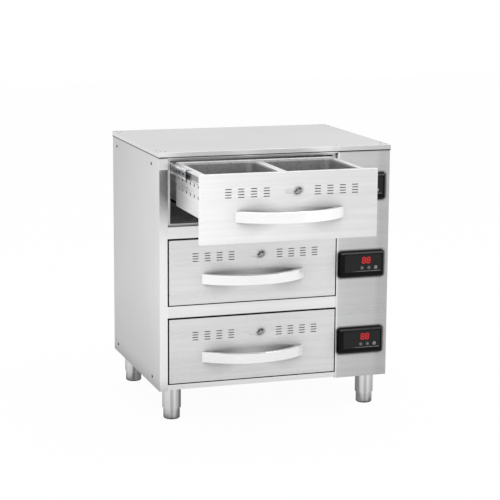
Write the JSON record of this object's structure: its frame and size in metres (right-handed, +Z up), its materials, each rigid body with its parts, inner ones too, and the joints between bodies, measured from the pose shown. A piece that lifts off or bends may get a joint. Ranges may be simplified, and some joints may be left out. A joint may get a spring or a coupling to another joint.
{
  "type": "drawer warmer",
  "caption": "Free-standing stainless food warmer: heated chambers with pull-out pan drawers on telescopic slides, bowed handles, vent shutters and a column of controllers",
  "frame": {"origin": "on the floor, under the middle of the whole object as it stands with its top drawer pulled out", "axes": "+X to the right seen from the front, +Y to the back of the cabinet, +Z up; the drawers open towards -Y"},
  "size_m": [0.8, 1.052, 0.894],
  "materials": {
    "brushed_stainless": "fine horizontal brushed grain, satin",
    "side_stainless": "fine upright brushed grain, satin",
    "lid_stainless": "fine brushed grain, satin",
    "drawer_stainless": "fine horizontal brushed grain, satin",
    "liner_steel": "dull mill finish, slightly heat tinted",
    "polished_steel": "bright satin polish",
    "zinc_slide": "bright zinc plate, rolled",
    "pan_steel": "satin inside, bright rim",
    "element_sheath": "dark oxidised sheath",
    "bezel_black": "gloss black moulding",
    "window_black": "smoked gloss window",
    "button_grey": "matte grey",
    "mineral_wool": "fibrous board",
    "nylon_black": "moulded nylon",
    "terminal_grey": "moulded plastic",
    "leg_steel": "bright drawn tube",
    "screw_steel": "plain machine screws"
  },
  "bodies": {
    "cabinet": {"side_panel_left": "side_stainless", "side_panel_right": "side_stainless", "control_panel": "brushed_stainless", "back_panel": "side_stainless", "base_panel": "liner_steel", "top_cover": "lid_stainless", "cover_screws": "screw_steel", "header_rail": "brushed_stainless", "cross_rails": "brushed_stainless", "bottom_rail": "brushed_stainless", "partition_wall": "liner_steel", "chamber_liner_1": "liner_steel", "chamber_liner_2": "liner_steel", "chamber_liner_3": "liner_steel", "heating_elements": "element_sheath", "temperature_probes": "polished_steel", "insulation": "mineral_wool", "slide_outers": "zinc_slide", "controller_1": "bezel_black", "controller_2": "bezel_black", "controller_3": "bezel_black", "display_windows": "window_black", "leg_tubes": "leg_steel", "cable_gland": "nylon_black", "terminal_block": "terminal_grey"},
    "drawer_1": {"drawer_front_1": "drawer_stainless", "drawer_box_1": "drawer_stainless", "drawer_handle_1": "polished_steel", "slide_inner_1": "zinc_slide", "pans_1": "pan_steel"},
    "shutter_1": {"vent_shutter_1": "polished_steel"},
    "middle_slides_1": {"slide_middle_1": "zinc_slide"},
    "down_button_1": {"button_down_1": "button_grey"},
    "up_button_1": {"button_up_1": "button_grey"},
    "set_button_1": {"button_set_1": "button_grey"},
    "drawer_2": {"drawer_front_2": "drawer_stainless", "drawer_box_2": "drawer_stainless", "drawer_handle_2": "polished_steel", "slide_inner_2": "zinc_slide", "pans_2": "pan_steel"},
    "shutter_2": {"vent_shutter_2": "polished_steel"},
    "middle_slides_2": {"slide_middle_2": "zinc_slide"},
    "down_button_2": {"button_down_2": "button_grey"},
    "up_button_2": {"button_up_2": "button_grey"},
    "set_button_2": {"button_set_2": "button_grey"},
    "drawer_3": {"drawer_front_3": "drawer_stainless", "drawer_box_3": "drawer_stainless", "drawer_handle_3": "polished_steel", "slide_inner_3": "zinc_slide", "pans_3": "pan_steel"},
    "shutter_3": {"vent_shutter_3": "polished_steel"},
    "middle_slides_3": {"slide_middle_3": "zinc_slide"},
    "down_button_3": {"button_down_3": "button_grey"},
    "up_button_3": {"button_up_3": "button_grey"},
    "set_button_3": {"button_set_3": "button_grey"},
    "foot_front_left": {"foot_front_left": "leg_steel"},
    "foot_front_right": {"foot_front_right": "leg_steel"},
    "foot_rear_left": {"foot_rear_left": "leg_steel"},
    "foot_rear_right": {"foot_rear_right": "leg_steel"}
  },
  "joints": [
    {"name": "drawer_1_slide", "type": "slide", "parent": "cabinet", "child": "drawer_1", "axis": [0, -1, 0], "range_m": [-0.35, 0]},
    {"name": "middle_slides_1_slide", "type": "slide", "parent": "cabinet", "child": "middle_slides_1", "axis": [0, -1, 0], "range_m": [-0.175, 0]},
    {"name": "vent_shutter_1_slide", "type": "slide", "parent": "drawer_1", "child": "shutter_1", "axis": [1, 0, 0], "range_m": [-0.0205, 0]},
    {"name": "down_button_1_press", "type": "slide", "parent": "cabinet", "child": "down_button_1", "axis": [0, 1, 0], "range_m": [0, 0.0008], "stiffness_N_per_m": 400, "springref_m": -0.001},
    {"name": "up_button_1_press", "type": "slide", "parent": "cabinet", "child": "up_button_1", "axis": [0, 1, 0], "range_m": [0, 0.0008], "stiffness_N_per_m": 400, "springref_m": -0.001},
    {"name": "set_button_1_press", "type": "slide", "parent": "cabinet", "child": "set_button_1", "axis": [0, 1, 0], "range_m": [0, 0.0008], "stiffness_N_per_m": 400, "springref_m": -0.001},
    {"name": "drawer_2_slide", "type": "slide", "parent": "cabinet", "child": "drawer_2", "axis": [0, -1, 0], "range_m": [0, 0.35]},
    {"name": "middle_slides_2_slide", "type": "slide", "parent": "cabinet", "child": "middle_slides_2", "axis": [0, -1, 0], "range_m": [0, 0.175]},
    {"name": "vent_shutter_2_slide", "type": "slide", "parent": "drawer_2", "child": "shutter_2", "axis": [1, 0, 0], "range_m": [-0.0205, 0]},
    {"name": "down_button_2_press", "type": "slide", "parent": "cabinet", "child": "down_button_2", "axis": [0, 1, 0], "range_m": [0, 0.0008], "stiffness_N_per_m": 400, "springref_m": -0.001},
    {"name": "up_button_2_press", "type": "slide", "parent": "cabinet", "child": "up_button_2", "axis": [0, 1, 0], "range_m": [0, 0.0008], "stiffness_N_per_m": 400, "springref_m": -0.001},
    {"name": "set_button_2_press", "type": "slide", "parent": "cabinet", "child": "set_button_2", "axis": [0, 1, 0], "range_m": [0, 0.0008], "stiffness_N_per_m": 400, "springref_m": -0.001},
    {"name": "drawer_3_slide", "type": "slide", "parent": "cabinet", "child": "drawer_3", "axis": [0, -1, 0], "range_m": [0, 0.35]},
    {"name": "middle_slides_3_slide", "type": "slide", "parent": "cabinet", "child": "middle_slides_3", "axis": [0, -1, 0], "range_m": [0, 0.175]},
    {"name": "vent_shutter_3_slide", "type": "slide", "parent": "drawer_3", "child": "shutter_3", "axis": [1, 0, 0], "range_m": [-0.0205, 0]},
    {"name": "down_button_3_press", "type": "slide", "parent": "cabinet", "child": "down_button_3", "axis": [0, 1, 0], "range_m": [0, 0.0008], "stiffness_N_per_m": 400, "springref_m": -0.001},
    {"name": "up_button_3_press", "type": "slide", "parent": "cabinet", "child": "up_button_3", "axis": [0, 1, 0], "range_m": [0, 0.0008], "stiffness_N_per_m": 400, "springref_m": -0.001},
    {"name": "set_button_3_press", "type": "slide", "parent": "cabinet", "child": "set_button_3", "axis": [0, 1, 0], "range_m": [0, 0.0008], "stiffness_N_per_m": 400, "springref_m": -0.001},
    {"name": "foot_front_left_turn", "type": "hinge", "parent": "cabinet", "child": "foot_front_left", "pos_m": [-0.3432, -0.05405, 0.037], "axis": [0, 0, 1], "continuous": true},
    {"name": "foot_front_right_turn", "type": "hinge", "parent": "cabinet", "child": "foot_front_right", "pos_m": [0.3432, -0.05405, 0.037], "axis": [0, 0, 1], "continuous": true},
    {"name": "foot_rear_left_turn", "type": "hinge", "parent": "cabinet", "child": "foot_rear_left", "pos_m": [-0.3432, 0.44925, 0.037], "axis": [0, 0, 1], "continuous": true},
    {"name": "foot_rear_right_turn", "type": "hinge", "parent": "cabinet", "child": "foot_rear_right", "pos_m": [0.3432, 0.44925, 0.037], "axis": [0, 0, 1], "continuous": true}
  ],
  "couplings": [
    {"joint": "middle_slides_1_slide", "follows": "drawer_1_slide", "ratio": 0.5},
    {"joint": "middle_slides_2_slide", "follows": "drawer_2_slide", "ratio": 0.5},
    {"joint": "middle_slides_3_slide", "follows": "drawer_3_slide", "ratio": 0.5}
  ]
}
